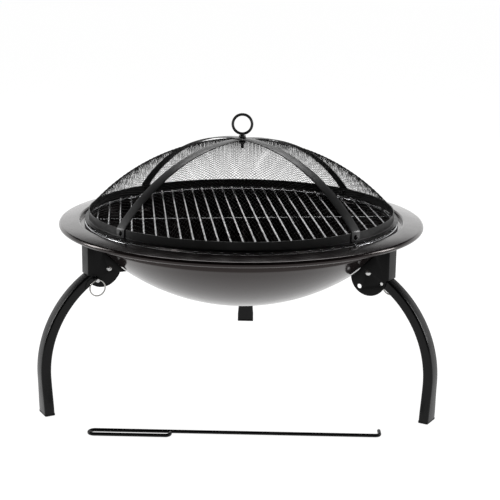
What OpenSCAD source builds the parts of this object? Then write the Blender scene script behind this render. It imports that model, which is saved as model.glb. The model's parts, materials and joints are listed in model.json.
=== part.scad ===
// Portable fire bowl on three folding legs, with a lift-out wire grate,
// a domed mesh spark guard and a loose poker. Millimetres, +Z up.
// The origin is on the ground, in the middle of the standing set.

/* [Bowl] */
// Diameter over the rolled rim
rim_d = 550; // [480:1:680]
// Thickness of the pressed bowl sheet
bowl_t = 1.2; // [0.8:0.1:2]
// Depth from the flange's inner edge to the underside of the bowl
bowl_depth = 130; // [100:1:160]
// Width of the flange, from its inner edge to the rim
flange_w = 30; // [26:1:40]
// Fall of the flange from its inner edge to the top of the rolled rim
flange_fall = 3; // [1:0.5:6]
// Diameter of the rolled rim bead
bead_d = 8; // [6:0.5:10]
// Width of the ledge that carries the grate
ledge_w = 14; // [12:0.5:18]
// Height of the straight wall under the ledge
wall_h = 19; // [17:0.5:28]

/* [Legs] */
// Width of the leg tube, around the bowl
leg_w = 22; // [18:0.5:26]
// Width of the leg tube at its flared foot
foot_w = 28; // [26:0.5:32]
// Depth of the leg tube, towards the bowl
leg_d = 15; // [13:0.5:18]
// Wall of the leg tube
leg_wall = 1.2; // [1:0.1:2]
// Width of the flats along the leg tube's corners
leg_corner = 2; // [1.5:0.1:2.5]
// Bend radius of the leg's centre line
leg_bend_r = 159; // [130:1:195]
// Angle of the bend above the level of its centre
leg_sweep = 67.4; // [60:0.1:72]
// Length of the straight lower stretch
leg_straight = 56; // [30:1:90]
// Inward lean of the straight stretch
leg_lean = 2.5; // [0:0.1:5]
// Angle that a leg folds in, under the bowl
fold_angle = 88; // [80:1:88]

/* [Leg brackets] */
// Sheet thickness of the leg brackets
bracket_t = 1.5; // [1:0.1:2.5]
// Gap between the leg and each cheek
cheek_gap = 0.5; // [0.3:0.1:1]
// Distance from the rim in to the leg pivot
pivot_inset = 53; // [52:0.5:58]
// Distance from the flange's inner edge down to the leg pivot
pivot_drop = 54; // [53:0.5:60]
// Diameter of the pivot rivet
pivot_d = 6; // [5:0.5:8]
// Radius of the round lobe of the cheek with the lock holes
lobe_r = 28; // [27:0.5:30]
// Radius of the lobe of the other cheek
small_lobe_r = 19; // [17:0.5:20]
// Reach of each fixing ear past the cheek
ear_w = 14; // [12:0.5:18]

/* [Leg locks] */
// Diameter of the lock pin
lock_d = 6; // [4:0.5:6]
// Distance from the pivot to the lock holes
lock_r = 25.3; // [25:0.1:27]
// Angle between the lock pin and the leg's own line, seen from the pivot
lock_offset = 10.4; // [10:0.1:11]
// How far an engaged pin stands out of the cheek
lock_reach = 3; // [2:0.5:5]
// How far the pin pulls on past its released position
lock_overpull = 2; // [1:0.5:3]
// Outer diameter of the pull ring
pull_ring_d = 25; // [20:0.5:25]
// Wire diameter of the pull ring
pull_wire_d = 1.8; // [1.4:0.1:2.2]

/* [Grate] */
// Gap around the grate, inside the step
grate_gap = 6.8; // [4:0.1:9]
// Diameter of the rim wire and of the cross bar
grate_ring_wire_d = 4; // [3:0.5:5]
// Diameter of the parallel wires
grate_wire_d = 3; // [2:0.5:4]
// Spacing of the parallel wires
grate_pitch = 17.1; // [14:0.1:25]
// Drop of the wires below the flange's inner edge
grate_drop = 1.3; // [0.5:0.1:3]
// Offset of the middle wire from the axis
grate_shift = 4.4; // [0:0.1:8]
// Turn of the wires from front-to-back
grate_turn = 7; // [-45:1:45]

/* [Spark guard] */
// Height of the guard's rim band
band_h = 13.5; // [10:0.5:20]
// Width of the foot flange that the band stands on
band_foot_w = 6; // [4:0.5:8]
// Thickness of the band sheet
band_t = 1.2; // [0.8:0.1:2]
// Rise of the dome above the band
dome_h = 102.5; // [80:0.5:140]
// Thickness of the mesh over its woven wires
mesh_t = 1.2; // [1:0.1:2]
// Width of the two straps over the dome
strap_w = 17; // [12:0.5:24]
// Thickness of the straps
strap_t = 1.5; // [1:0.1:2.5]
// Direction of the lower strap
strap_turn_lower = 45; // [0:1:180]
// Direction of the upper strap
strap_turn_upper = 135; // [0:1:180]
// Outer diameter of the lifting ring
lift_ring_d = 33; // [26:0.5:45]
// Wire diameter of the lifting ring
lift_wire_d = 4.2; // [3:0.1:6]
// Diameter of the threaded shank under the lifting ring
shank_d = 5; // [4:0.5:6]
// Length of the shank that shows below the lower nut
shank_tail = 7; // [2:0.5:15]

/* [Poker] */
// Overall length of the poker
poker_len = 410; // [300:5:500]
// Wire diameter of the poker
poker_wire_d = 5; // [4:0.5:8]
// Length of the handle loop
loop_len = 118; // [90:1:150]
// Width of the handle loop between wire centres
loop_w = 15; // [14:1:30]
// Length of the hook, past the middle of the shaft
hook_len = 20; // [15:1:40]
// Radius of the bends at the hook and at the loop's end
poker_bend_r = 6; // [4:0.5:8]
// Distance of the poker in front of the bowl's axis
poker_front = 224; // [200:1:300]

/* [Hidden] */
$fn = 96;
// Gap under a piece that rests on a piece it can be lifted from
rest_gap = 0.3;
// Radial clearance of a pin that turns or slides in its bore
run_gap = 0.05;
// Radial clearance of a pin tip in a cheek hole
tip_gap = 0.4;
// Stand-off of a flat rivet head from a hollow curved wall
seat_gap = 0.1;
// Depth to which a welded wire sinks into the wire that it crosses
weld = 0.05;
// Margin by which a cutting shape passes the solid it cuts
eps = 1;
leg_turns = [90, 210, 330];

// Legs: the bend's centre, seen in the plane of one leg
rim_r = rim_d / 2;
pivot_r = rim_r - pivot_inset;
bend_z = leg_straight * cos(leg_lean) + leg_bend_r * sin(leg_lean);
bend_r = pivot_r - leg_bend_r * cos(leg_sweep);
pivot_z = bend_z + leg_bend_r * sin(leg_sweep);
leg_out_r = leg_bend_r + leg_d / 2;
leg_end_angle = atan(leg_d / 2 / leg_bend_r);
leg_top_r = bend_r + leg_bend_r * cos(leg_lean);
foot_r = leg_top_r - leg_straight * sin(leg_lean);
plug_t = 3;
plug_len = 8;
flare_h = leg_straight - plug_t - plug_len - 1;
plug_gap = 0.2;

// Bowl heights and radii
flange_z = pivot_z + pivot_drop;
step_r = rim_r - flange_w;
wall_r = step_r - ledge_w;
wall_in_r = wall_r - bowl_t;
bead_r = bead_d / 2;
bead_c = rim_r - bead_r;
bead_z = flange_z - flange_fall - bead_r;

// Grate, stacked from its wires down to the ledge
grate_ring_r = step_r - bowl_t - grate_gap - grate_ring_wire_d / 2;
wire_z = flange_z - grate_drop;
ring_z = wire_z - (grate_wire_d + grate_ring_wire_d) / 2 + weld;
ledge_z = ring_z - grate_ring_wire_d / 2 - rest_gap;
wall_z = ledge_z - bowl_t - wall_h;
bowl_z = flange_z - bowl_depth;
sphere_rise = wall_z - bowl_z;
sphere_r = (wall_r * wall_r + sphere_rise * sphere_rise) / (2 * sphere_rise);
sphere_z = bowl_z + sphere_r;

// Brackets, seen in the plane of one leg
bracket_in_w = leg_w + 2 * cheek_gap;
bracket_w = bracket_in_w + 2 * bracket_t;
bracket_top = ledge_z - bowl_t - rest_gap;
web_drop = 9;
web_out_r = bend_r + sqrt(pow(leg_out_r, 2) - pow(pivot_z - web_drop - bend_z, 2));
web_in_r = web_out_r - bracket_t;
web_z = bend_z + sqrt(pow(leg_out_r, 2) - pow(web_in_r - bend_r, 2)) + rest_gap;
ear_margin = 1;
ear_top = bracket_top - ear_margin;
ear_z = wall_z + 2 * ear_margin;
bowl_gap = 0.6;
rivet_d = 4;
rivet_head_d = 7.5;
bracket_rivet_z = (ear_top + ear_z) / 2;
ear_angle = asin((bracket_w / 2 + ear_w / 2) / wall_r);

// Locks: places along the pin, which lies across the leg. The pin is drawn
// just released, with its tip inside the tube and the spring turn on turn.
lock_drop_angle = 90 - leg_sweep + lock_offset;
lock_at = [pivot_r + lock_r * cos(lock_drop_angle), pivot_z - lock_r * sin(lock_drop_angle)];
tip_stand = 0.1;
tip_y = -leg_w / 2 - tip_stand;
lock_throw = bracket_t + cheek_gap - tip_stand + lock_reach;
pull_gap = 0.6;
pull_y = bracket_w / 2 + pull_wire_d / 2 + lock_throw + pull_gap;
pin_end_y = pull_y + 3;
pin_chamfer = 0.8;
pull_ring_r = (pull_ring_d - pull_wire_d) / 2;
eye_gap = 0.8;
clip_t = 1;
spring_end_y = leg_w / 2 - leg_corner;
clip_y = -spring_end_y + lock_throw + clip_t / 2 + rest_gap;
spring_wire_d = 0.45;
spring_d = lock_d + 2 * run_gap + 2 * spring_wire_d;
spring_room = spring_end_y - clip_y - clip_t / 2 - lock_overpull - 2 * rest_gap;
spring_turns = floor(spring_room / spring_wire_d);

// Spark guard
guard_z = wire_z + grate_wire_d / 2 + rest_gap;
band_r = grate_ring_r + grate_wire_d / 2 - band_foot_w;
band_top = guard_z + band_h;
mesh_r = band_r - band_t;
dome_r = (mesh_r * mesh_r + dome_h * dome_h) / (2 * dome_h);
dome_z = band_top + dome_h - dome_r;
mesh_skirt = 8;
strap_tab_h = 11;
strap_tab_z = guard_z + band_t + 2 * rest_gap;
lid_rivet_z = strap_tab_z + strap_tab_h / 2;
apex_z = band_top + dome_h;
washer_t = 0.8;
washer_d = 12;
nut_h = 3.2;
nut_across = 9;
strap_gap = 0.2;
nut_bearing_z = apex_z + strap_gap + 2 * strap_t + washer_t;
lift_ring_z = nut_bearing_z + nut_h + seat_gap + lift_ring_d / 2;
under_z = apex_z - mesh_t - seat_gap - washer_t;

// The bowl's axis stands forward of the origin by half of what the back leg
// reaches past the rim, so that the origin is in the middle of the set
leg_reach = bend_r + leg_out_r;
axis_y = -(leg_reach - rim_r) / 2;

// Frames ---------------------------------------------------------------

// Puts its children on the bowl's axis
module on_axis() { translate([0, axis_y, 0]) children(); }

// Puts its children in one leg's frame: +X outward, +Y around, +Z up
module at_leg(i) { on_axis() rotate([0, 0, leg_turns[i]]) children(); }

// Stands a flat outline up in the leg's plane, w thick about its middle
module upright(w) { rotate([90, 0, 0]) linear_extrude(w, center = true) children(); }

// A rod across the leg through p = [radius, height], from y = a to y = b
module cross_rod(p, d, a, b) {
    translate([p[0], b, p[1]]) rotate([90, 0, 0]) cylinder(d = d, h = b - a);
}

// A rectangle with round corners, about the origin
module round_rect(x, y, r) {
    square([x - 2 * r, y], center = true);
    square([x, y - 2 * r], center = true);
    for (sx = [-1, 1], sy = [-1, 1])
        translate([sx * (x / 2 - r), sy * (y / 2 - r)]) circle(r);
}

// A domed rivet head of diameter d on the plane z = 0, pointing up
module rivet_head(d) {
    rise = d / 3.5;
    r = (d * d / 4 + rise * rise) / (2 * rise);
    intersection() {
        translate([0, 0, rise - r]) sphere(r);
        cylinder(d = d, h = rise);
    }
}

// A rivet along +Z through sheets from z = 0 to z = grip, headed at both ends
module sheet_rivet(grip) {
    inside = rivet_head_d / 10;
    translate([0, 0, -seat_gap - inside])
        cylinder(d = rivet_d, h = grip + 2 * (seat_gap + inside));
    translate([0, 0, grip + seat_gap]) rivet_head(rivet_head_d);
    rotate([180, 0, 0]) translate([0, 0, seat_gap]) rivet_head(rivet_head_d);
}

// Bowl -----------------------------------------------------------------

// The space that the bowl fills below its ledge, in half section
module bowl_outline(grow = 0) {
    intersection() {
        translate([0, sphere_z]) circle(sphere_r + grow, $fn = 360);
        square([wall_r + grow, wall_z]);
    }
    translate([0, wall_z - eps]) square([wall_r + grow, ledge_z - wall_z + eps]);
}

// The pressed dish below the straight wall
module dish() {
    rotate_extrude() intersection() {
        difference() {
            translate([0, sphere_z]) circle(sphere_r, $fn = 360);
            translate([0, sphere_z]) circle(sphere_r - bowl_t, $fn = 360);
        }
        square([wall_r, wall_z]);
    }
}

// The straight wall, the ledge, the step up from it and the flange, as one sheet
module shoulder() {
    low = wall_z - bowl_t / 2;
    flange_end = [bead_c, bead_z + bead_r - 0.1];
    rotate_extrude() polygon([
        [wall_in_r, low], [wall_in_r, ledge_z], [step_r - bowl_t, ledge_z],
        [step_r - bowl_t, flange_z], flange_end, flange_end - [0, bowl_t],
        [step_r, flange_z - bowl_t], [step_r, ledge_z - bowl_t],
        [wall_r, ledge_z - bowl_t], [wall_r, low]]);
}

module bead() {
    translate([0, 0, bead_z]) rotate_extrude() translate([bead_c, 0]) circle(bead_r);
}

module bowl() {
    color("#1c1b1b") difference() {
        on_axis() {
            dish();
            shoulder();
            bead();
        }
        for (i = [0:2], side = [-1, 1]) ear_rivet_hole(i, side);
    }
}

// Leg brackets -----------------------------------------------------------

// Turns to the middle of one fixing ear, with +X outward through it
module at_ear(i, side) {
    at_leg(i) rotate([0, 0, side * ear_angle]) translate([0, 0, bracket_rivet_z]) children();
}

module ear_rivet_hole(i, side) {
    at_ear(i, side) translate([wall_in_r - eps, 0, 0]) rotate([0, 90, 0])
        cylinder(d = rivet_d, h = bowl_t + bracket_t + 2 * eps);
}

// The stretch of cheek between the bowl and the web
module cheek_panel() {
    translate([pivot_r - lobe_r, web_z])
        square([web_in_r - pivot_r + lobe_r - bracket_t, bracket_top - web_z]);
}

// One cheek's outline in the leg's plane, with a lobe of radius r
module cheek_outline(r, out, down) {
    difference() {
        union() {
            cheek_panel();
            translate([pivot_r + out, pivot_z - down]) circle(r);
        }
        bowl_outline(bowl_gap);
        translate([wall_r - eps, wall_z]) square([eps + bowl_gap, ledge_z]);
        translate([web_in_r - bracket_t, web_z - eps])
            square([lobe_r, bracket_top]);
    }
}

module lock_hole_at(turn) {
    cross_rod([pivot_r + lock_r * cos(turn), pivot_z + lock_r * sin(turn)],
              lock_d + 2 * tip_gap, -bracket_w, 0);
}

// The bent sheet around the outside: web, round corners and cheek edges
module bracket_channel() {
    run = web_out_r - wall_r - bowl_gap;
    translate([0, 0, web_z]) linear_extrude(bracket_top - web_z) intersection() {
        difference() {
            translate([web_out_r - run, 0]) round_rect(2 * run, bracket_w, 1.5 * bracket_t);
            translate([web_out_r - run, 0])
                round_rect(2 * (run - bracket_t), bracket_in_w, bracket_t / 2);
        }
        translate([wall_r + bowl_gap, -bracket_w]) square([run, 2 * bracket_w]);
    }
}

// Ears bent out along the bowl's wall, one on each cheek
module bracket_ears() {
    intersection() {
        translate([0, 0, ear_z]) linear_extrude(ear_top - ear_z) difference() {
            circle(wall_r + bracket_t, $fn = 360);
            circle(wall_r, $fn = 360);
        }
        for (side = [-1, 1])
            translate([wall_r / 2, side > 0 ? bracket_in_w / 2 : -bracket_w / 2 - ear_w, ear_z])
                cube([wall_r, bracket_t + ear_w, ear_top - ear_z]);
    }
}

module bracket(i) {
    cheek_y = (bracket_w - bracket_t) / 2;
    color("#111111") difference() {
        at_leg(i) {
            bracket_channel();
            translate([0, -cheek_y, 0]) upright(bracket_t) cheek_outline(lobe_r, 1, 6);
            translate([0, cheek_y, 0]) upright(bracket_t) cheek_outline(small_lobe_r, 2, 2);
            bracket_ears();
        }
        at_leg(i) {
            cross_rod([pivot_r, pivot_z], pivot_d, -bracket_w, bracket_w);
            lock_hole_at(-lock_drop_angle);
            lock_hole_at(-lock_drop_angle - fold_angle);
        }
        for (side = [-1, 1]) ear_rivet_hole(i, side);
    }
}

module bracket_rivets() {
    color("#1a1a1a") for (i = [0:2], side = [-1, 1]) at_ear(i, side)
        translate([wall_in_r, 0, 0]) rotate([0, 90, 0]) sheet_rivet(bowl_t + bracket_t);
}

// A rivet with a domed head on one side and a rolled-over end on the other
module pivot_rivet(i) {
    head_d = 1.5 * pivot_d;
    end_y = bracket_w / 2;
    dimple = 0.6;
    color("#c9c9c9") at_leg(i) translate([pivot_r, 0, pivot_z]) rotate([-90, 0, 0]) difference() {
        union() {
            translate([0, 0, -end_y]) cylinder(d = pivot_d, h = 2 * end_y);
            translate([0, 0, -end_y]) rotate([180, 0, 0]) rivet_head(head_d);
            translate([0, 0, end_y]) rivet_head(head_d);
        }
        translate([0, 0, end_y + dimple]) cylinder(d = pivot_d / 2, h = head_d);
    }
}

// Legs -------------------------------------------------------------------

// Corners of the tube's section of width w, less `inset` all round, with a flat along each
function leg_section(inset, w) =
    let (x = leg_d / 2 - inset, y = w / 2 - inset, c = leg_corner - inset * (2 - sqrt(2)))
    [[x, c - y], [x, y - c], [x - c, y], [c - x, y],
     [-x, y - c], [-x, c - y], [c - x, -y], [x - c, -y]];

// The stretch where the tube widens, down from z = 0
module leg_flare(inset) {
    top = leg_section(inset, leg_w);
    foot = leg_section(inset, foot_w);
    n = len(top);
    polyhedron(
        points = concat([for (p = top) [p[0], p[1], 0]], [for (p = foot) [p[0], p[1], -flare_h]]),
        faces = concat([[for (i = [n - 1:-1:0]) i]], [[for (i = [0:n - 1]) n + i]],
                       [for (i = [0:n - 1]) [i, (i + 1) % n, n + (i + 1) % n, n + i]]));
}

// That section, swept along the leg and `past` degrees beyond its upper end
module leg_solid(inset, past = 0) {
    sweep = leg_lean + leg_sweep + leg_end_angle + past;
    translate([bend_r, 0, bend_z]) rotate([90, 0, 0])
        rotate([0, 0, -leg_lean]) rotate_extrude(angle = sweep, $fn = 360)
            translate([leg_bend_r, 0]) polygon(leg_section(inset, leg_w));
    translate([leg_top_r, 0, leg_straight * cos(leg_lean)]) rotate([0, leg_lean, 0]) {
        leg_flare(inset);
        translate([0, 0, -leg_straight - leg_d]) linear_extrude(leg_straight + leg_d - flare_h)
            polygon(leg_section(inset, foot_w));
    }
}

module below(z) {
    translate([0, -foot_w, z - 2 * leg_d]) cube([2 * foot_r, 2 * foot_w, 2 * leg_d]);
}

module leg(i) {
    bush_d = pivot_d + 2 * run_gap + 2 * leg_wall;
    color("#1d1d1f") at_leg(i) difference() {
        leg_solid(0);
        difference() {
            leg_solid(leg_wall, leg_end_angle);
            cross_rod([pivot_r, pivot_z], bush_d, -leg_w, leg_w);
        }
        below(plug_t);
        cross_rod([pivot_r, pivot_z], pivot_d + 2 * run_gap, -leg_w, leg_w);
        cross_rod(lock_at, lock_d + 2 * run_gap, -leg_w, leg_w);
    }
}

// A plug pressed into the tube's lower end, with the flat face that it stands on
module foot_plug(i) {
    color("#0c0c0c") at_leg(i) {
        translate([foot_r, 0, 0]) linear_extrude(plug_t)
            round_rect(leg_d / cos(leg_lean), foot_w, leg_corner);
        difference() {
            intersection() {
                leg_solid(leg_wall + plug_gap);
                translate([foot_r - leg_d, -foot_w, 0])
                    cube([2 * leg_d, 2 * foot_w, plug_t + plug_len]);
            }
            below(plug_t);
        }
    }
}

// Locks ------------------------------------------------------------------

module lock_pin(i) {
    slim_d = lock_d - 2 * pin_chamfer;
    color("#d0d0d2") at_leg(i) difference() {
        union() {
            cross_rod(lock_at, lock_d, tip_y + pin_chamfer, pin_end_y - pin_chamfer);
            translate([lock_at[0], tip_y, lock_at[1]]) rotate([-90, 0, 0])
                cylinder(d1 = slim_d, d2 = lock_d, h = pin_chamfer);
            translate([lock_at[0], pin_end_y - pin_chamfer, lock_at[1]]) rotate([-90, 0, 0])
                cylinder(d1 = lock_d, d2 = slim_d, h = pin_chamfer);
        }
        translate([lock_at[0], pull_y, lock_at[1]]) rotate([0, 90, 0])
            cylinder(d = pull_wire_d + 2 * eye_gap, h = 2 * lock_d, center = true);
    }
}

// The clip that the spring pushes on, fast on the pin
module lock_clip(i) {
    color("#8a8a8c") at_leg(i) difference() {
        cross_rod(lock_at, spring_d, clip_y - clip_t / 2, clip_y + clip_t / 2);
        cross_rod(lock_at, lock_d, -leg_w, leg_w);
    }
}

// The spring at its shortest: the closed turns make one ridged sleeve
module lock_spring(i) {
    length = spring_turns * spring_wire_d;
    ridges = [for (k = [0:2 * spring_turns])
        [spring_d / 2 - (k % 2 == 0 ? spring_wire_d / 3 : 0), k * spring_wire_d / 2]];
    bore = lock_d / 2 + run_gap;
    color("#9a9a9c") at_leg(i) translate([lock_at[0], spring_end_y, lock_at[1]])
        rotate([90, 0, 0]) rotate_extrude()
            polygon(concat([[bore, 0]], ridges, [[bore, length]]));
}

module pull_ring(i) {
    color("#d8d8da") at_leg(i)
        translate([lock_at[0], pull_y, lock_at[1] - pull_ring_r]) rotate([90, 0, 0])
            rotate_extrude() translate([pull_ring_r, 0]) circle(d = pull_wire_d);
}

// Grate ------------------------------------------------------------------

module grate_ring() {
    color("#b9babc") on_axis() translate([0, 0, ring_z]) rotate_extrude($fn = 180)
        translate([grate_ring_r, 0]) circle(d = grate_ring_wire_d);
}

module grate_rod(shift, d, z) {
    half = sqrt(pow(grate_ring_r, 2) - pow(shift, 2));
    translate([shift, half, z]) rotate([90, 0, 0]) cylinder(d = d, h = 2 * half);
}

module grate_wires() {
    room = grate_ring_r - 0.45 * grate_pitch;
    first = ceil((-room - grate_shift) / grate_pitch);
    last = floor((room - grate_shift) / grate_pitch);
    color("#c6c7c9") on_axis() rotate([0, 0, grate_turn]) for (k = [first:last])
        grate_rod(grate_shift + k * grate_pitch, grate_wire_d, wire_z);
}

module grate_cross_bar() {
    color("#b9babc") on_axis() rotate([0, 0, grate_turn + 90]) difference() {
        grate_rod(0, grate_ring_wire_d, ring_z);
        rotate_extrude($fn = 180)
            translate([grate_ring_r, ring_z]) circle(d = grate_ring_wire_d);
    }
}

// Spark guard --------------------------------------------------------------

// Turns to one end of a strap, with +X outward through its rivet
module at_strap_end(turn, end) {
    on_axis() rotate([0, 0, turn + 180 * end]) translate([0, 0, lid_rivet_z]) children();
}

module strap_rivet_holes(turn) {
    for (end = [0, 1]) at_strap_end(turn, end)
        translate([mesh_r - mesh_t - eps, 0, 0]) rotate([0, 90, 0])
            cylinder(d = rivet_d, h = mesh_t + band_t + 2 * strap_t + 3 * eps);
}

module guard_band() {
    color("#161616") difference() {
        on_axis() rotate_extrude($fn = 360) {
            translate([mesh_r, guard_z]) square([band_t, band_h]);
            translate([mesh_r, guard_z]) square([band_t + band_foot_w, band_t]);
        }
        strap_rivet_holes(strap_turn_lower);
        strap_rivet_holes(strap_turn_upper);
    }
}

module guard_mesh() {
    color("#3a3a3c") difference() {
        on_axis() rotate_extrude($fn = 360) {
            intersection() {
                difference() {
                    translate([0, dome_z]) circle(dome_r, $fn = 360);
                    translate([0, dome_z]) circle(dome_r - mesh_t, $fn = 360);
                }
                translate([0, band_top]) square([mesh_r, dome_h + eps]);
            }
            polygon([[mesh_r - mesh_t, band_top - mesh_skirt], [mesh_r, band_top - mesh_skirt],
                     [mesh_r, band_top], [mesh_r - mesh_t, band_top + mesh_t]]);
        }
        strap_rivet_holes(strap_turn_lower);
        strap_rivet_holes(strap_turn_upper);
        on_axis() cylinder(d = shank_d + 2 * run_gap, h = 2 * apex_z);
    }
}

// A flat strap over the dome, with a tab at each end outside the band
module strap(turn, layer) {
    low = strap_gap + layer * strap_t;
    color("#2a2a2c") difference() {
        on_axis() rotate([0, 0, turn]) intersection() {
            rotate_extrude($fn = 360) {
                difference() {
                    intersection() {
                        translate([0, dome_z]) circle(dome_r + low + strap_t, $fn = 360);
                        translate([0, band_top - eps]) square([band_r + strap_t, dome_h + 4 * strap_t]);
                    }
                    translate([0, dome_z]) circle(dome_r + low, $fn = 360);
                    translate([0, band_top - 2 * eps]) square([band_r, 2 * eps]);
                }
                translate([band_r, strap_tab_z]) square([strap_t, band_top - strap_tab_z + low]);
            }
            translate([-2 * band_r, -strap_w / 2, 0]) cube([4 * band_r, strap_w, 2 * apex_z]);
        }
        strap_rivet_holes(turn);
        on_axis() cylinder(d = shank_d + 2 * run_gap, h = 2 * apex_z);
    }
}

module strap_rivets() {
    color("#1a1a1a") for (turn = [strap_turn_lower, strap_turn_upper], end = [0, 1])
        at_strap_end(turn, end) translate([mesh_r - mesh_t, 0, 0]) rotate([0, 90, 0])
            sheet_rivet(mesh_t + band_t + strap_t);
}

module washer(z) {
    color("#202020") on_axis() translate([0, 0, z]) difference() {
        cylinder(d = washer_d, h = washer_t);
        translate([0, 0, -eps]) cylinder(d = shank_d, h = washer_t + 2 * eps);
    }
}

module nut(z) {
    color("#262626") on_axis() translate([0, 0, z]) difference() {
        cylinder(d = nut_across / cos(30), h = nut_h, $fn = 6);
        translate([0, 0, -eps]) cylinder(d = shank_d, h = nut_h + 2 * eps);
    }
}

module lift_ring() {
    major = (lift_ring_d - lift_wire_d) / 2;
    low = under_z - nut_h - shank_tail;
    color("#2c2c2e") on_axis() {
        translate([0, 0, lift_ring_z]) rotate([90, 0, 0])
            rotate_extrude() translate([major, 0]) circle(d = lift_wire_d);
        translate([0, 0, low]) cylinder(d = shank_d, h = lift_ring_z - major - low);
    }
}

// Poker --------------------------------------------------------------------

// A straight stretch of wire from `a`, in the direction `turn`
module wire_run(a, turn, length) {
    translate([a[0], a[1], 0]) rotate([0, 0, turn]) rotate([0, 90, 0])
        cylinder(d = poker_wire_d, h = length);
}

// A bend of the wire about `c`, of radius r, through `sweep` from `turn`
module wire_bend(c, r, turn, sweep) {
    translate([c[0], c[1], 0]) rotate([0, 0, turn])
        rotate_extrude(angle = sweep) translate([r, 0]) circle(d = poker_wire_d);
}

// One wire: hook, shaft, loop, and the loop's end bent in towards the shaft
module poker() {
    half = poker_wire_d / 2;
    left = -poker_len / 2 + half;
    right = poker_len / 2 - half;
    round_r = loop_w / 2;
    tip_x = left + loop_len - poker_wire_d;
    shaft = [left + round_r, right - poker_bend_r];
    back = [shaft[0], tip_x - poker_bend_r];
    color("#0e0e0e") on_axis() translate([0, -poker_front, half]) {
        wire_run([shaft[0], 0], 0, shaft[1] - shaft[0]);
        wire_bend([shaft[1], poker_bend_r], poker_bend_r, -90, 90);
        wire_run([right, poker_bend_r], 90, hook_len - poker_bend_r);
        wire_bend([shaft[0], -round_r], round_r, 90, 180);
        wire_run([back[0], -loop_w], 0, back[1] - back[0]);
        wire_bend([back[1], poker_bend_r - loop_w], poker_bend_r, -90, 90);
        wire_run([tip_x, poker_bend_r - loop_w], 90, loop_w - poker_bend_r - half - rest_gap);
    }
}

bowl();
bracket(0);  // bracket_back
bracket(1);  // bracket_front_left
bracket(2);  // bracket_front_right
bracket_rivets();
pivot_rivet(0);  // pivot_rivet_back
pivot_rivet(1);  // pivot_rivet_front_left
pivot_rivet(2);  // pivot_rivet_front_right
leg(0);  // leg_back
leg(1);  // leg_front_left
leg(2);  // leg_front_right
foot_plug(0);  // foot_plug_back
foot_plug(1);  // foot_plug_front_left
foot_plug(2);  // foot_plug_front_right
lock_pin(0);  // lock_pin_back
lock_pin(1);  // lock_pin_front_left
lock_pin(2);  // lock_pin_front_right
lock_clip(0);  // lock_clip_back
lock_clip(1);  // lock_clip_front_left
lock_clip(2);  // lock_clip_front_right
lock_spring(0);  // lock_spring_back
lock_spring(1);  // lock_spring_front_left
lock_spring(2);  // lock_spring_front_right
pull_ring(0);  // pull_ring_back
pull_ring(1);  // pull_ring_front_left
pull_ring(2);  // pull_ring_front_right
grate_ring();
grate_wires();
grate_cross_bar();
guard_band();
guard_mesh();
strap(strap_turn_lower, 0);  // strap_lower
strap(strap_turn_upper, 1);  // strap_upper
strap_rivets();
lift_ring();
washer(nut_bearing_z - washer_t);  // washer_upper
nut(nut_bearing_z);  // nut_upper
washer(under_z);  // washer_lower
nut(under_z - nut_h);  // nut_lower
poker();
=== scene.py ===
import json
import math

import bmesh
import bpy
from mathutils import Matrix, Vector


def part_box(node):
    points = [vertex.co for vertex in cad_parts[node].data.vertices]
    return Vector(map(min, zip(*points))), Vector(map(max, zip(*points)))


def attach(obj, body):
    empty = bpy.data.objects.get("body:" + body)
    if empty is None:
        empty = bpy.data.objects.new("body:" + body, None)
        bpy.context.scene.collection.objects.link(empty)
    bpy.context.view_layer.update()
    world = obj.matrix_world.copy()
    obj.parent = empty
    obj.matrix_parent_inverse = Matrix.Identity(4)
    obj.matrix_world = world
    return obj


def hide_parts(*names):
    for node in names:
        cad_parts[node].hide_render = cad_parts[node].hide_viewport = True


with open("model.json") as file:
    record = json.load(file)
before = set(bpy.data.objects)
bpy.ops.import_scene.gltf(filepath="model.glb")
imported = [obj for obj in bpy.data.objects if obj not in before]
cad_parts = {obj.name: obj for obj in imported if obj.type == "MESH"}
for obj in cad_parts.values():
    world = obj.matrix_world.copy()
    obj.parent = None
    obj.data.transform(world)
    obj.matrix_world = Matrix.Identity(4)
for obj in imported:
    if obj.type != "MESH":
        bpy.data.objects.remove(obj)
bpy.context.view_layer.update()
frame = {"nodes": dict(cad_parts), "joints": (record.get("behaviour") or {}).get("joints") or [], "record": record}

# Sizes: lengths in metres, angles in degrees. Places come from the frame, further down.

MM = 0.001
UP = Vector((0, 0, 1))
LEG_NAMES = ("back", "front_left", "front_right")

# Bowl: insets are measured from the rim, drops from the ledge or the flange.
SHEET_T = 1.2 * MM
TURNED_SEGMENTS = 288
STEP_INSET, WALL_INSET = 30 * MM, 44 * MM
LEDGE_GAP, WALL_DROP = 0.3 * MM, 20.2 * MM
BEAD_R, BEAD_DROP = 4 * MM, 3 * MM
BEAD_START, BEAD_END = 82, -200
DISH_MARGIN = 0.9
DISH_CORNER_R, LEDGE_CORNER_R, FLANGE_CORNER_R = 3 * MM, 1.6 * MM, 1.9 * MM

# Guard: band, woven cloth, straps and lifting ring.
BAND_FOLD_R, BAND_FOOT_TRIM = 1.4 * MM, 0.2
MESH_PITCH, MESH_WIRE_D, MESH_DEPTH = 4.0 * MM, 0.42 * MM, 0.6 * MM
MESH_WAVE = 0.52
MESH_WIRE_SIDES = 5
MESH_END_DROPS = (0.8 * MM, 6.5 * MM)
WARP_TURN, WEFT_TURN = 47, 137
STRAP_T, STRAP_W, STRAP_GAP, STRAP_ROUND = 1.5 * MM, 17 * MM, 0.2 * MM, 0.45 * MM
STRAP_BEND_R, STRAP_BEND_MARGIN = 4 * MM, 2.5
LOWER_STRAP_TURN, UPPER_STRAP_TURN = 45, 135
LIFT_WIRE, LIFT_R, SHANK_R = 4.2 * MM, 16.5 * MM, 2.5 * MM
THREAD_PITCH, THREAD_DEPTH = 0.8 * MM, 0.35 * MM
THREAD_MARGIN, SHANK_NECK = 3 * MM, 2 * MM

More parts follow.
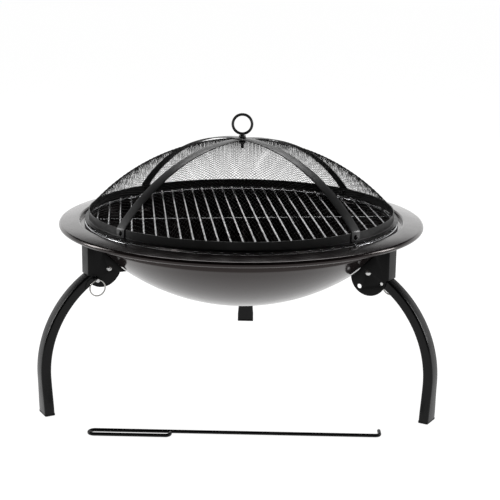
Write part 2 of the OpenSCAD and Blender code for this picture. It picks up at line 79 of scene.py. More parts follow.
# Legs, pull rings and springs.
LEG_W, LEG_D, LEG_WALL, LEG_ROUND = 22 * MM, 15 * MM, 1.2 * MM, 3.0 * MM
BEND_R, SWEEP, LEAN, PLUG_T = 159 * MM, 67.4, 2.5, 3 * MM
FOOT_W, FLARE_SHARE = 28 * MM, 0.82
FLARE_STOPS = (1, 0.75, 0.5, 0.3, 0.12)
RING_R, RING_W, RING_TURN_T, RING_ROUND = 11.6 * MM, 1.7 * MM, 0.86 * MM, 0.35 * MM
RING_GAP, RING_END_TURN = 0.04 * MM, 150
RING_CROSS_START, RING_CROSS_LENGTH = 0.46, 0.08
SPRING_WIRE, SPRING_TURNS, SPRING_INSET = 0.45 * MM, 20, 2 * MM
SPRING_WIRE_SHARE = 0.96

# Poker and grate.
POKER_D, POKER_BEND_R = 5 * MM, 6 * MM
LOOP_W, LOOP_L, LOOP_TIP_GAP = 15 * MM, 118 * MM, 0.3 * MM
GRATE_TURN = 7
ROD_PITCH, ROD_SHIFT, RODS_EACH_SIDE = 17.1 * MM, 4.4 * MM, 13

# Edges and smoothing.
SMOOTH_ANGLE, SOFT_SMOOTH_ANGLE = 35, 50
ROUNDING_STEP = 9
WIRE_END_STEPS = 4
BRACKET_EDGE, PLUG_EDGE, NUT_EDGE = 0.3 * MM, 0.5 * MM, 0.2 * MM


# Shapes -----------------------------------------------------------------

def new_object(name, verts, faces, material, smooth_angle=SMOOTH_ANGLE):
    mesh = bpy.data.meshes.new(name)
    mesh.from_pydata([tuple(v) for v in verts], [], faces)
    mesh.validate()
    obj = bpy.data.objects.new(name, mesh)
    bpy.context.scene.collection.objects.link(obj)
    mesh.materials.append(material)
    mesh.shade_smooth()
    if smooth_angle:
        mesh.set_sharp_from_angle(angle=math.radians(smooth_angle))
    return obj


def flat_directions(turn):
    """Two level directions at right angles, the first one turned from the x axis."""
    a = math.radians(turn)
    return Vector((math.cos(a), math.sin(a), 0)), Vector((-math.sin(a), math.cos(a), 0))


def full_turn(steps):
    """The angles of a closed circle's points, in radians."""
    return [2 * math.pi * i / steps for i in range(steps)]


def rounded_path(points, radii):
    """A polyline in 2D whose inner corners are rounded with the given radii."""
    out = [Vector(points[0])]
    for a, b, c, r in zip(points, points[1:], points[2:], radii):
        a, b, c = Vector(a), Vector(b), Vector(c)
        u, v = (a - b).normalized(), (c - b).normalized()
        half = u.angle(v) / 2
        turn = math.pi - 2 * half
        if r <= 0 or turn < 1e-4:
            out.append(b)
            continue
        reach = r / math.tan(half)
        start, end = b + u * reach, b + v * reach
        centre = b + (u + v).normalized() * (r / math.sin(half))
        steps = max(2, math.ceil(turn / math.radians(ROUNDING_STEP)))
        arm, last_arm = start - centre, end - centre
        sign = 1 if (arm.x * last_arm.y - arm.y * last_arm.x) > 0 else -1
        for i in range(steps + 1):
            t = sign * turn * i / steps
            out.append(centre + Vector((arm.x * math.cos(t) - arm.y * math.sin(t),
                                        arm.x * math.sin(t) + arm.y * math.cos(t))))
    out.append(Vector(points[-1]))
    return out


def arc(centre, r, start, end, steps):
    """Points of a 2D arc, angles in degrees."""
    angles = [math.radians(start + (end - start) * i / steps) for i in range(steps + 1)]
    return [Vector((centre[0] + r * math.cos(a), centre[1] + r * math.sin(a))) for a in angles]


def thick_line(path, t):
    """The closed outline of a sheet of thickness t along a 2D centre line."""
    left, right = [], []
    for i, p in enumerate(path):
        d = (path[min(i + 1, len(path) - 1)] - path[max(i - 1, 0)]).normalized()
        n = Vector((-d.y, d.x)) * (t / 2)
        left.append(p + n)
        right.append(p - n)
    return left + right[::-1]


def lathe(outline, axis, segments):
    """Verts and faces of a closed 2D outline (radius, height) turned about a vertical axis."""
    verts, faces, rings = [], [], []
    for r, z in outline:
        if r < 1e-6:
            rings.append([len(verts)] * segments)
            verts.append(Vector((axis.x, axis.y, z)))
            continue
        rings.append(list(range(len(verts), len(verts) + segments)))
        for a in full_turn(segments):
            verts.append(Vector((axis.x + r * math.cos(a), axis.y + r * math.sin(a), z)))
    for i, ring in enumerate(rings):
        after = rings[(i + 1) % len(rings)]
        for s in range(segments):
            t = (s + 1) % segments
            face = [ring[s], after[s], after[t], ring[t]]
            kept = [v for k, v in enumerate(face) if v != face[k - 1]]
            if len(kept) > 2:
                faces.append(kept)
    return verts, faces


def round_section(w, h, r, steps):
    """A rectangle with round corners as a closed 2D outline."""
    corners = ((w / 2 - r, h / 2 - r, 0), (r - w / 2, h / 2 - r, 90),
               (r - w / 2, r - h / 2, 180), (w / 2 - r, r - h / 2, 270))
    return [p for x, y, a in corners for p in arc((x, y), r, a, a + 90, steps)]


def circle_section(d, sides):
    return arc((0, 0), d / 2, 0, 360, sides)[:-1]


def sweep(path, section, side, closed=False, inner=None, scale=lambda i: (1, 1)):
    """Sweeps a 2D outline along a path; its first axis lies along side(i), its second across.

    An inner outline makes a tube, and scale(i) widens the outline on its two axes.
    """
    verts, faces = [], []
    count, size = len(path), len(section)
    loops = [section] if inner is None else [section, inner]
    for outline in loops:
        for i, p in enumerate(path):
            before = path[i - 1] if closed or i else path[0]
            after = path[(i + 1) % count] if closed or i < count - 1 else path[-1]
            tangent = (after - before).normalized()
            s = side(i)
            s = (s - tangent * s.dot(tangent)).normalized()
            up = tangent.cross(s)
            wide, high = scale(i)
            verts += [p + s * a * wide + up * b * high for a, b in outline]
    rows = count if closed else count - 1
    for layer in range(len(loops)):
        base = layer * count * size
        for i in range(rows):
            here, ahead = base + i * size, base + (i + 1) % count * size
            for k in range(size):
                n = (k + 1) % size
                face = [here + k, here + n, ahead + n, ahead + k]
                faces.append(face if layer == 0 else face[::-1])
    if closed:
        return verts, faces
    last = (count - 1) * size
    if inner is None:
        faces.append(list(range(size))[::-1])
        faces.append(list(range(last, last + size)))
        return verts, faces
    base = count * size
    for k in range(size):
        n = (k + 1) % size
        faces.append([n, k, base + k, base + n])
        faces.append([last + k, last + n, base + last + n, base + last + k])
    return verts, faces


def round_ended(path, r):
    """Adds close points at both ends, and the scale at each point that rounds the ends off."""
    turns = [math.radians(90 * i / WIRE_END_STEPS) for i in range(1, WIRE_END_STEPS)]
    first, last = (path[1] - path[0]).normalized(), (path[-1] - path[-2]).normalized()
    head = [(path[0] + first * r * (1 - math.cos(a)), math.sin(a)) for a in turns]
    tail = [(path[-1] - last * r * (1 - math.cos(a)), math.sin(a)) for a in reversed(turns)]
    small = math.sin(turns[0]) / 3
    both = [(path[0], small)] + head + [(path[0] + first * r, 1.0)]
    both += [(p, 1.0) for p in path[1:-1]]
    both += [(path[-1] - last * r, 1.0)] + tail + [(path[-1], small)]
    return [p for p, _ in both], [k for _, k in both]


def rod(path, d, side, sides=20):
    """A round wire with rounded ends."""
    points, scales = round_ended(path, d / 2)
    return sweep(points, circle_section(d, sides), side, scale=lambda i: (scales[i], scales[i]))


def merge(parts):
    """Several (verts, faces) as one."""
    verts, faces = [], []
    for v, f in parts:
        base = len(verts)
        verts += v
        faces += [[i + base for i in face] for face in f]
    return verts, faces


# Materials ----------------------------------------------------------------

def base_material(name, color, roughness, metallic=0.0):
    mat = bpy.data.materials.new(name)
    mat.use_nodes = True
    tree = mat.node_tree
    bsdf = tree.nodes["Principled BSDF"]
    bsdf.inputs["Base Color"].default_value = (*color, 1)
    bsdf.inputs["Roughness"].default_value = roughness
    bsdf.inputs["Metallic"].default_value = metallic
    return mat, tree, bsdf


def noise(tree, scale, detail=4.0):
    coords = tree.nodes.new("ShaderNodeTexCoord")
    tex = tree.nodes.new("ShaderNodeTexNoise")
    tex.inputs["Scale"].default_value = scale
    tex.inputs["Detail"].default_value = detail
    tex.inputs["Roughness"].default_value = 0.55
    tree.links.new(coords.outputs["Object"], tex.inputs["Vector"])
    return tex.outputs["Fac"]


def map_range(tree, value, source, target, kind="LINEAR"):
    """Maps a value from the source range onto the target range, and stops at its ends."""
    node = tree.nodes.new("ShaderNodeMapRange")
    node.interpolation_type = kind
    keys = ("From Min", "From Max", "To Min", "To Max")
    for key, number in zip(keys, (*source, *target)):
        node.inputs[key].default_value = number
    tree.links.new(value, node.inputs["Value"])
    return node.outputs["Result"]


def blend_colors(tree, value, dark, light):
    """A noise value as a colour between dark and light."""
    ramp = tree.nodes.new("ShaderNodeValToRGB")
    ramp.color_ramp.elements[0].position = 0.35
    ramp.color_ramp.elements[1].position = 0.68
    ramp.color_ramp.elements[0].color = (*dark, 1)
    ramp.color_ramp.elements[1].color = (*light, 1)
    tree.links.new(value, ramp.inputs["Fac"])
    return ramp.outputs["Color"]


def textured(tree, bsdf, colors, color_scale, gloss_range, gloss_scale):
    """Links a colour and a roughness that both drift with noise."""
    tree.links.new(blend_colors(tree, noise(tree, color_scale), *colors),
                   bsdf.inputs["Base Color"])
    tree.links.new(map_range(tree, noise(tree, gloss_scale), (0.3, 0.7), gloss_range),
                   bsdf.inputs["Roughness"])


def add_bump(tree, bsdf, scale, strength, distance):
    """Fine relief from noise of the given scale."""
    bump = tree.nodes.new("ShaderNodeBump")
    bump.inputs["Strength"].default_value = strength
    bump.inputs["Distance"].default_value = distance
    tree.links.new(noise(tree, scale, 2), bump.inputs["Height"])
    tree.links.new(bump.outputs["Normal"], bsdf.inputs["Normal"])


def coated(name, colors, rough, peel, grain=700, gloss=0.18, gloss_tint=(1, 1, 1)):
    """Sprayed or enamelled steel: slow tone drift, uneven gloss and orange peel."""
    mat, tree, bsdf = base_material(name, colors[0], rough[0])
    bsdf.inputs["Specular IOR Level"].default_value = gloss
    bsdf.inputs["Specular Tint"].default_value = (*gloss_tint, 1)
    textured(tree, bsdf, colors, 9, rough, 45)
    add_bump(tree, bsdf, grain, peel, 0.00008)
    return mat


def plated(name, colors, rough):
    """Plated or bare steel: fine drawing marks and patches of duller plate."""
    mat, tree, bsdf = base_material(name, colors[1], rough[0], 1.0)
    textured(tree, bsdf, colors, 60, rough, 260)
    add_bump(tree, bsdf, 2200, 0.25, 0.00003)
    return mat


def greys(dark, light):
    return (dark, dark, dark), (light, light, light)


# One material for each slot of the record.
MATERIALS = {
    "enamel": coated("enamel", ((0.0055, 0.0035, 0.0035), (0.009, 0.0065, 0.0065)),
                     (0.12, 0.19), 0.06, grain=420, gloss=0.36, gloss_tint=(1, 0.88, 0.85)),
    "bracket_paint": coated("bracket_paint", greys(0.002, 0.004), (0.3, 0.42), 0.25, gloss=0.12),
    "leg_paint": coated("leg_paint", ((0.0035, 0.0035, 0.0037), (0.006, 0.006, 0.0065)),
                        (0.2, 0.3), 0.25),
    "guard_paint": coated("guard_paint", greys(0.0025, 0.005), (0.3, 0.42), 0.25),
    "strap_paint": coated("strap_paint", ((0.008, 0.008, 0.0085), (0.015, 0.015, 0.0155)),
                          (0.3, 0.42), 0.3, gloss=0.5),
    "lift_paint": coated("lift_paint", ((0.01, 0.01, 0.011), (0.018, 0.018, 0.02)),
                         (0.22, 0.32), 0.15, gloss=0.5),
    "poker_paint": coated("poker_paint", greys(0.003, 0.006), (0.32, 0.44), 0.25),
    "black_rivets": coated("rivet_paint", greys(0.005, 0.009), (0.22, 0.32), 0.15),
    "plug_plastic": coated("plug_plastic", greys(0.005, 0.009), (0.5, 0.62), 0.5),
    "mesh_wire": coated("mesh_wire", greys(0.002, 0.006), (0.4, 0.55), 0.2, gloss=0.1),
    "grate_chrome": plated("grate_chrome", ((0.3, 0.3, 0.31), (0.45, 0.455, 0.465)),
                           (0.14, 0.26)),
    "zinc_plate": plated("zinc_plate", ((0.42, 0.42, 0.42), (0.66, 0.66, 0.65)), (0.18, 0.32)),
    "spring_steel": plated("spring_steel", ((0.3, 0.3, 0.31), (0.46, 0.46, 0.47)), (0.25, 0.4)),
    "ring_nickel": plated("ring_nickel", ((0.26, 0.255, 0.24), (0.48, 0.47, 0.45)), (0.1, 0.2)),
}

SLOTS = {part["node"]: part["material_slot"] for part in frame["record"]["subparts"]}
for node_name, slot_name in SLOTS.items():
    for material_slot in frame["nodes"][node_name].material_slots:
        material_slot.material = MATERIALS[slot_name]


# Pieces -------------------------------------------------------------------

def add_piece(name, shape, body, slot, *replaced, smooth_angle=SMOOTH_ANGLE):
    """A visible piece from (verts, faces), on its body and in place of its CAD nodes."""
    obj = new_object(name, *shape, MATERIALS[slot], smooth_angle)
    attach(obj, body)
    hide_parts(*replaced)


def soften(node, body, width):
    """Stands for a CAD node with the same shape and small rounded edges."""
    mesh = frame["nodes"][node].data.copy()
    work = bmesh.new()
    work.from_mesh(mesh)
    bmesh.ops.remove_doubles(work, verts=work.verts, dist=2e-6)
    bmesh.ops.dissolve_limit(work, angle_limit=math.radians(0.6), verts=work.verts,
                             edges=work.edges)
    sharp = [e for e in work.edges
             if len(e.link_faces) == 2 and e.calc_face_angle() > math.radians(32)]
    bmesh.ops.bevel(work, geom=sharp, offset=width, segments=2, profile=0.6, affect="EDGES",
                    clamp_overlap=True)
    work.to_mesh(mesh)
    work.free()
    mesh.shade_smooth()
    mesh.set_sharp_from_angle(angle=math.radians(SOFT_SMOOTH_ANGLE))
    obj = bpy.data.objects.new(f"{node}_finish", mesh)
    bpy.context.scene.collection.objects.link(obj)
    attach(obj, body)
    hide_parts(node)


# Places read from the frame ---------------------------------------------------

bowl_low, bowl_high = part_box("bowl")
ring_low, ring_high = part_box("grate_ring")
band_low, band_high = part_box("guard_band")
mesh_low, mesh_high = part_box("guard_mesh")
AXIS = Vector(((bowl_low.x + bowl_high.x) / 2, (bowl_low.y + bowl_high.y) / 2, 0))
RIM_R = (bowl_high.x - bowl_low.x) / 2
FLANGE_Z, BOWL_Z = bowl_high.z, bowl_low.z
LEDGE_Z = ring_low.z - LEDGE_GAP
MESH_R = (mesh_high.x - mesh_low.x) / 2
APEX_Z, BAND_TOP, BAND_Z = mesh_high.z, band_high.z, band_low.z
BAND_FOOT_R = (band_high.x - band_low.x) / 2
DOME_H = APEX_Z - BAND_TOP
DOME_R = (MESH_R ** 2 + DOME_H ** 2) / (2 * DOME_H)
DOME_Z = APEX_Z - DOME_R


def joint(name):
    return next(j for j in frame["joints"] if j["name"] == name)


class LegPlace:
    """One leg's own directions, pivot and pull-ring eye, read from its joints."""

    def __init__(self, name):
        hinge = joint(f"leg_{name}_fold")
        self.name = name
        self.around = Vector(hinge["axis"])
        self.out = self.around.cross(UP)
        self.pivot = Vector(hinge["pos_m"])
        self.pivot_r = (self.pivot - AXIS).dot(self.out)
        self.eye = Vector(joint(f"pull_ring_{name}_swing")["pos_m"])

    def at(self, r, z):
        return AXIS + self.out * r + Vector((0, 0, z))

    def round_the_pin(self, centre, shift, r, a):
        """A point at angle a of a circle about the lock pin's direction, shifted along it."""
        return centre + self.around * shift + (self.out * math.cos(a) + UP * math.sin(a)) * r


# Bowl ---------------------------------------------------------------------

def make_bowl():
    """One pressed sheet: dish, wall, ledge, step, flange and rolled rim."""
    half = SHEET_T / 2
    step_r, wall_r, wall_z = RIM_R - STEP_INSET, RIM_R - WALL_INSET, LEDGE_Z - WALL_DROP
    bead_centre = (RIM_R - BEAD_R, FLANGE_Z - BEAD_DROP - BEAD_R)
    rise = wall_z - BOWL_Z
    sphere_r = (wall_r ** 2 + rise ** 2) / (2 * rise)
    edge = math.degrees(math.asin(wall_r / sphere_r))
    dish = arc((0, BOWL_Z + sphere_r), sphere_r - half, -90, -90 + edge - DISH_MARGIN, steps=40)
    dish[0].x = 0
    curl = arc(bead_centre, BEAD_R - half, BEAD_START, BEAD_END, steps=26)
    shoulder = rounded_path(
        [dish[-1], (wall_r - half, wall_z), (wall_r - half, LEDGE_Z - half),
         (step_r - half, LEDGE_Z - half), (step_r - half, FLANGE_Z - half), curl[0]],
        [DISH_CORNER_R, LEDGE_CORNER_R, LEDGE_CORNER_R, FLANGE_CORNER_R])
    outline = thick_line(dish + shoulder[1:-1] + curl, SHEET_T)
    outline[0].x = outline[-1].x = 0
    add_piece("bowl_shell", lathe(outline, AXIS, TURNED_SEGMENTS), "bowl_body", "enamel", "bowl")


# Guard ----------------------------------------------------------------------

def make_guard_band():
    """The rim band: a turned-in foot flange and an upright wall."""
    half = SHEET_T / 2
    path = rounded_path([(BAND_FOOT_R - half * BAND_FOOT_TRIM, BAND_Z + half),
                         (MESH_R + half, BAND_Z + half), (MESH_R + half, BAND_TOP)],
                        [BAND_FOLD_R])
    add_piece("guard_rim_band", lathe(thick_line(path, SHEET_T), AXIS, TURNED_SEGMENTS),
              "guard_body", "guard_paint", "guard_band")


def woven_wire(along, middle, half, parity, dome_r):
    """One wire of the cloth: its path over the dome, and the outward direction at each point."""
    first = math.ceil(-half / MESH_PITCH - 0.5)
    last = math.floor(half / MESH_PITCH - 0.5)
    stops = [-half] + [(j + 0.5) * MESH_PITCH for j in range(first, last + 1)] + [half]
    path, outward = [], []
    for n, t in enumerate(stops):
        flat = middle + along * t
        at_end = n in (0, len(stops) - 1)
        wave = MESH_WIRE_D * MESH_WAVE * (1 if (first + n + parity) % 2 else -1)
        lift = 0 if at_end else wave
        z = math.sqrt(max((dome_r + lift) ** 2 - flat.length_squared, 0))
        point = flat + Vector((0, 0, DOME_Z + z)) + AXIS
        stretch = [(point, (flat + Vector((0, 0, z))).normalized())]
        if at_end:
            wall = flat.normalized()
            foot = [(Vector((point.x, point.y, BAND_TOP - drop)), wall)
                    for drop in MESH_END_DROPS]
            stretch = foot[::-1] + stretch if n == 0 else stretch + foot
        path += [p for p, _ in stretch]
        outward += [w for _, w in stretch]
    return path, outward


def woven_family(turn, parity):
    """Wires of one direction, over and under the other direction's by turns."""
    along, across = flat_directions(turn)
    reach = MESH_R - MESH_WIRE_D
    section = circle_section(MESH_WIRE_D, MESH_WIRE_SIDES)
    rows = int(reach / MESH_PITCH)
    parts = []
    for k in range(-rows, rows):
        offset = (k + 0.5) * MESH_PITCH
        half = math.sqrt(reach ** 2 - offset ** 2)
        if half < 2 * MESH_PITCH:
            continue
        path, outward = woven_wire(along, across * offset, half, k + parity,
                                   DOME_R - MESH_DEPTH)
        parts.append(sweep(path, section, lambda i, o=outward: o[i]))
    return merge(parts)


def make_guard_mesh():
    for name, turn, parity in (("woven_wires_warp", WARP_TURN, 0),
                               ("woven_wires_weft", WEFT_TURN, 1)):
        add_piece(name, woven_family(turn, parity), "guard_body", "mesh_wire", "guard_mesh",
                  smooth_angle=0)


def make_strap(name, turn, layer):
    """A flat strap over the dome, bent down at both ends against the band."""
    r = DOME_R + STRAP_GAP + (layer + 0.5) * STRAP_T
    tab_r = MESH_R + SHEET_T + STRAP_T / 2
    tab_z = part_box("strap_lower")[0].z
    edge = math.degrees(math.acos(tab_r / r))
    corner = (tab_r, DOME_Z + r * math.sin(math.radians(edge)))
    start = edge + STRAP_BEND_MARGIN
    dome = arc((0, DOME_Z), r, start, 180 - edge - STRAP_BEND_MARGIN, steps=64)
    right = rounded_path([(tab_r, tab_z), corner, dome[0]], [STRAP_BEND_R])
    left = [Vector((-p.x, p.y)) for p in reversed(right)]
    along, across = flat_directions(turn)
    path = [AXIS + along * p.x + Vector((0, 0, p.y)) for p in right[:-1] + dome + left[1:]]
    section = round_section(STRAP_W, STRAP_T, STRAP_ROUND, steps=3)
    add_piece(f"{name}_flat_bar", sweep(path, section, lambda i: across),
              "guard_body", "strap_paint", name)


def make_lift_ring():
    """A bent eye on a threaded shank."""
    low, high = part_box("lift_ring")
    r = LIFT_R - LIFT_WIRE / 2
    centre = Vector((AXIS.x, AXIS.y, high.z - LIFT_R))
    ring = [centre + Vector((r * math.sin(a), 0, r * math.cos(a))) for a in full_turn(72)]
    eye = sweep(ring, circle_section(LIFT_WIRE, 20), lambda i: Vector((0, 1, 0)), closed=True)
    top = centre.z - r
    root_r = SHANK_R - THREAD_DEPTH
    thread = [(0, low.z), (SHANK_R - 2 * THREAD_DEPTH, low.z)]
    for i in range(int((top - THREAD_MARGIN - low.z) / THREAD_PITCH)):
        z = low.z + (i + 0.5) * THREAD_PITCH
        thread += [(SHANK_R, z), (root_r, z + THREAD_PITCH / 2)]
    thread += [(root_r, top - SHANK_NECK), (SHANK_R - THREAD_DEPTH * 0.5, top), (0, top)]
    shank = lathe([Vector(p) for p in thread], AXIS, 32)
    add_piece("eye_bolt", merge([eye, shank]), "guard_body", "lift_paint", "lift_ring")


# Legs, pull rings and springs -------------------------------------------------------

def flare_width(t):
    """How much wider than its upper part the tube is, t of the way down its straight end."""
    t = min(t / FLARE_SHARE, 1)
    return 1 + (FOOT_W / LEG_W - 1) * t * t * (2 - t)


def make_leg(place):
    """A bent tube with round corners and a flared foot, open at its upper end."""
    centre = (place.pivot_r - BEND_R * math.cos(math.radians(SWEEP)),
              place.pivot.z - BEND_R * math.sin(math.radians(SWEEP)))
    past = math.degrees(math.atan(LEG_D / 2 / BEND_R))
    bend = arc(centre, BEND_R, -LEAN, SWEEP + past, steps=56)
    slope = math.tan(math.radians(LEAN))
    foot = Vector((bend[0].x - (bend[0].y - PLUG_T) * slope, PLUG_T))
    drop = foot - bend[0]
    shares = [1] + [stop * FLARE_SHARE for stop in FLARE_STOPS]
    straight = [bend[0] + drop * t for t in shares]
    widths = [flare_width((p - bend[0]).length / drop.length) for p in straight]
    widths += [1] * len(bend)
    path = [place.at(r, z) for r, z in straight + bend]
    outer = round_section(LEG_W, LEG_D, LEG_ROUND, steps=5)
    inner = round_section(LEG_W - 2 * LEG_WALL, LEG_D - 2 * LEG_WALL, LEG_ROUND - LEG_WALL,
                          steps=5)
    tube = sweep(path, outer, lambda i: place.around, inner=inner,
                 scale=lambda i: (widths[i], 1))
    add_piece(f"leg_tube_{place.name}", tube, f"leg_{place.name}_body", "leg_paint",
              f"leg_{place.name}")


def make_split_ring(place):
    """Two turns of flat-sided wire that hang from the lock pin's eye."""
    centre = place.eye - Vector((0, 0, RING_R))
    steps = 150
    path = []
    for i in range(steps + 1):
        a = 4 * math.pi * i / steps - math.radians(RING_END_TURN)
        t = min(max((i / steps - RING_CROSS_START) / RING_CROSS_LENGTH, 0), 1)
        shift = (t * t * (3 - 2 * t) - 0.5) * (RING_TURN_T + RING_GAP)
        path.append(place.round_the_pin(centre, shift, RING_R, a))
    section = round_section(RING_TURN_T, RING_W, RING_ROUND, steps=3)
    add_piece(f"split_ring_{place.name}", sweep(path, section, lambda i: place.around),
              f"pull_ring_{place.name}_body", "ring_nickel", f"pull_ring_{place.name}")


def make_spring(place):
    """The closed coil spring around the lock pin, inside the tube."""
    low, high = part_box(f"lock_spring_{place.name}")
    coil_r = (high.z - low.z - SPRING_WIRE) / 2
    start = LEG_W / 2 - SPRING_INSET - SPRING_WIRE / 2
    centre = place.eye - place.around * (place.eye - AXIS).dot(place.around)
    steps = 22
    path = []
    for i in range((SPRING_TURNS - 1) * steps + 1):
        a = 2 * math.pi * i / steps
        path.append(place.round_the_pin(centre, start - SPRING_WIRE * i / steps, coil_r, a))
    section = circle_section(SPRING_WIRE * SPRING_WIRE_SHARE, 6)
    add_piece(f"coil_spring_{place.name}", sweep(path, section, lambda i: path[i] - centre),
              f"leg_{place.name}_body", "spring_steel", f"lock_spring_{place.name}")


# Poker and grate ------------------------------------------------------------------

def make_poker():
    """One bent wire: hook, shaft and handle loop."""
    low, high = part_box("poker")
    half = POKER_D / 2
    left, right, near = low.x + half, high.x - half, low.y + half
    shaft_y = near + LOOP_W
    tip_x = left + LOOP_L - POKER_D
    corners = [(right, high.y), (right, shaft_y), (left, shaft_y), (left, near), (tip_x, near),
               (tip_x, shaft_y - half - LOOP_TIP_GAP)]
    loop_r = LOOP_W / 2 - 1e-6
    flat = rounded_path(corners, [POKER_BEND_R, loop_r, loop_r, POKER_BEND_R])
    path = [Vector((p.x, p.y, low.z + half)) for p in flat]
    add_piece("poker_wire", rod(path, POKER_D, lambda i: UP), "poker_body", "poker_paint",
              "poker")


def make_grate():
    """The rim wire, the cross bar and the parallel wires, each welded where they cross."""
    wire_low, wire_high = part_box("grate_wires")
    ring_wire, wire = ring_high.z - ring_low.z, wire_high.z - wire_low.z
    ring_z, wire_z = (ring_low.z + ring_high.z) / 2, (wire_low.z + wire_high.z) / 2
    r = (ring_high.x - ring_low.x - ring_wire) / 2
    across, along = flat_directions(GRATE_TURN)

    ring = [AXIS + Vector((r * math.cos(a), r * math.sin(a), ring_z)) for a in full_turn(240)]
    rim = sweep(ring, circle_section(ring_wire, 20), lambda i: UP, closed=True)
    add_piece("grate_rim_wire", rim, "grate_body", "grate_chrome", "grate_ring")

    inner = r - ring_wire / 2
    bar = [AXIS + across * inner * k + UP * ring_z for k in (-1, 0, 1)]
    add_piece("grate_bar", rod(bar, ring_wire, lambda i: UP), "grate_body", "grate_chrome",
              "grate_cross_bar")

    parts = []
    for k in range(-RODS_EACH_SIDE, RODS_EACH_SIDE + 1):
        offset = ROD_SHIFT + k * ROD_PITCH
        half = math.sqrt(r ** 2 - offset ** 2)
        path = [AXIS + across * offset + along * half * t + UP * wire_z
                for t in (-1, -0.5, 0, 0.5, 1)]
        parts.append(rod(path, wire, lambda i: UP, 14))
    add_piece("grate_rods", merge(parts), "grate_body", "grate_chrome", "grate_wires")


make_bowl()
make_guard_band()
make_guard_mesh()
make_strap("strap_lower", LOWER_STRAP_TURN, 0)
make_strap("strap_upper", UPPER_STRAP_TURN, 1)
make_lift_ring()
make_poker()
make_grate()
for leg_name in LEG_NAMES:
    leg_place = LegPlace(leg_name)
    make_leg(leg_place)
    make_split_ring(leg_place)
    make_spring(leg_place)
    soften(f"bracket_{leg_name}", "bowl_body", BRACKET_EDGE)
    soften(f"foot_plug_{leg_name}", f"leg_{leg_name}_body", PLUG_EDGE)
for nut_name in ("nut_upper", "nut_lower", "washer_upper", "washer_lower"):
    soften(nut_name, "guard_body", NUT_EDGE)


# Floor, light, camera -----------------------------------------------------------

FLOOR_HALF, FLOOR_Z, FLOOR_GLOW = 14, -0.0002, 0.98
# The world's brightness rises towards the back and falls off above the horizon.
BACK_RANGE, BACK_LEVELS = (0.1, 0.85), (0.02, 1.5)
HEIGHT_RANGE, HEIGHT_LEVELS = (0.27, 0.42), (1.0, 0.05)
# Name, place, target, size and power.
LIGHTS = (
    ("top_light", (0, 1.6, 2.0), (0, 0, 0.3), (1.6, 0.5), 16),
    ("left_light", (-2.4, 0.3, 1.0), (0, 0, 0.2), (0.5, 1.4), 34),
    ("right_light", (2.4, 0.3, 1.0), (0, 0, 0.2), (0.5, 1.4), 34),
)
# Place in metres, angles in radians, lens and sensor in millimetres.
CAMERA_PLACE = (0.05312, -1.8118, 0.65857)
CAMERA_YAW, CAMERA_PITCH, CAMERA_ROLL = -0.0218, 0.2426, 0.0123
CAMERA_LENS, CAMERA_SENSOR = 87.65, 36


def make_floor():
    """A plain floor that glows, so that it shows as white as the backdrop."""
    mat, tree, bsdf = base_material("floor", (0.2, 0.2, 0.2), 0.7)
    bsdf.inputs["Specular IOR Level"].default_value = 0
    bsdf.inputs["Emission Color"].default_value = (1, 1, 1, 1)
    bsdf.inputs["Emission Strength"].default_value = FLOOR_GLOW
    verts = [(x * FLOOR_HALF, y * FLOOR_HALF, FLOOR_Z)
             for x, y in ((-1, -1), (1, -1), (1, 1), (-1, 1))]
    floor = new_object("floor", verts, [[0, 1, 2, 3]], mat, 0)


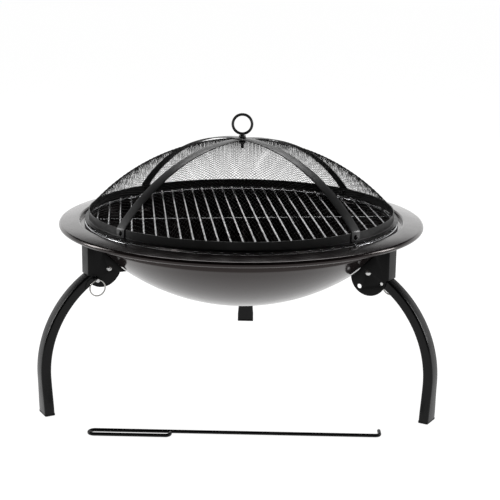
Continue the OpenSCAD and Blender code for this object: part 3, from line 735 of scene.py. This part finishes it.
def make_world():
    """White behind the set and dark in front of it, shown as plain white to the camera."""
    world = bpy.data.worlds.new("studio")
    bpy.context.scene.world = world
    world.use_nodes = True
    tree = world.node_tree
    coords = tree.nodes.new("ShaderNodeTexCoord")
    split = tree.nodes.new("ShaderNodeSeparateXYZ")
    tree.links.new(coords.outputs["Generated"], split.inputs[0])
    behind = map_range(tree, split.outputs["Y"], BACK_RANGE, BACK_LEVELS, "SMOOTHSTEP")
    low = map_range(tree, split.outputs["Z"], HEIGHT_RANGE, HEIGHT_LEVELS, "SMOOTHSTEP")
    glow = tree.nodes.new("ShaderNodeMath")
    glow.operation = "MULTIPLY"
    tree.links.new(behind, glow.inputs[0])
    tree.links.new(low, glow.inputs[1])
    seen = tree.nodes.new("ShaderNodeLightPath")
    level = tree.nodes.new("ShaderNodeMix")
    tree.links.new(seen.outputs["Is Camera Ray"], level.inputs["Factor"])
    tree.links.new(glow.outputs["Value"], level.inputs["A"])
    level.inputs["B"].default_value = 1.0
    tree.links.new(level.outputs["Result"], tree.nodes["Background"].inputs["Color"])


def area_light(name, place, target, size, power):
    data = bpy.data.lights.new(name, "AREA")
    data.shape = "RECTANGLE"
    data.size, data.size_y = size
    data.energy = power
    obj = bpy.data.objects.new(name, data)
    bpy.context.scene.collection.objects.link(obj)
    obj.location = place
    obj.rotation_euler = (Vector(target) - Vector(place)).to_track_quat("-Z", "Y").to_euler()


def make_camera():
    """The camera, placed by yaw, pitch and roll."""
    level = math.cos(CAMERA_PITCH)
    forward = Vector((math.sin(CAMERA_YAW) * level, math.cos(CAMERA_YAW) * level,
                      -math.sin(CAMERA_PITCH)))
    right = Vector((math.cos(CAMERA_YAW), -math.sin(CAMERA_YAW), 0))
    up = right.cross(forward)
    rolled_right = right * math.cos(CAMERA_ROLL) + up * math.sin(CAMERA_ROLL)
    rolled_up = up * math.cos(CAMERA_ROLL) - right * math.sin(CAMERA_ROLL)
    data = bpy.data.cameras.new("camera")
    data.sensor_width = CAMERA_SENSOR
    data.lens = CAMERA_LENS
    camera = bpy.data.objects.new("camera", data)
    bpy.context.scene.collection.objects.link(camera)
    place = (CAMERA_PLACE[0] + AXIS.x, CAMERA_PLACE[1] + AXIS.y, CAMERA_PLACE[2])
    rows = [list(row) for row in zip(rolled_right, rolled_up, -forward, place)]
    camera.matrix_world = Matrix(rows + [[0, 0, 0, 1]])
    bpy.context.scene.camera = camera


make_floor()
make_world()
for light in LIGHTS:
    area_light(*light)
make_camera()
bpy.context.scene.view_settings.view_transform = "Standard"
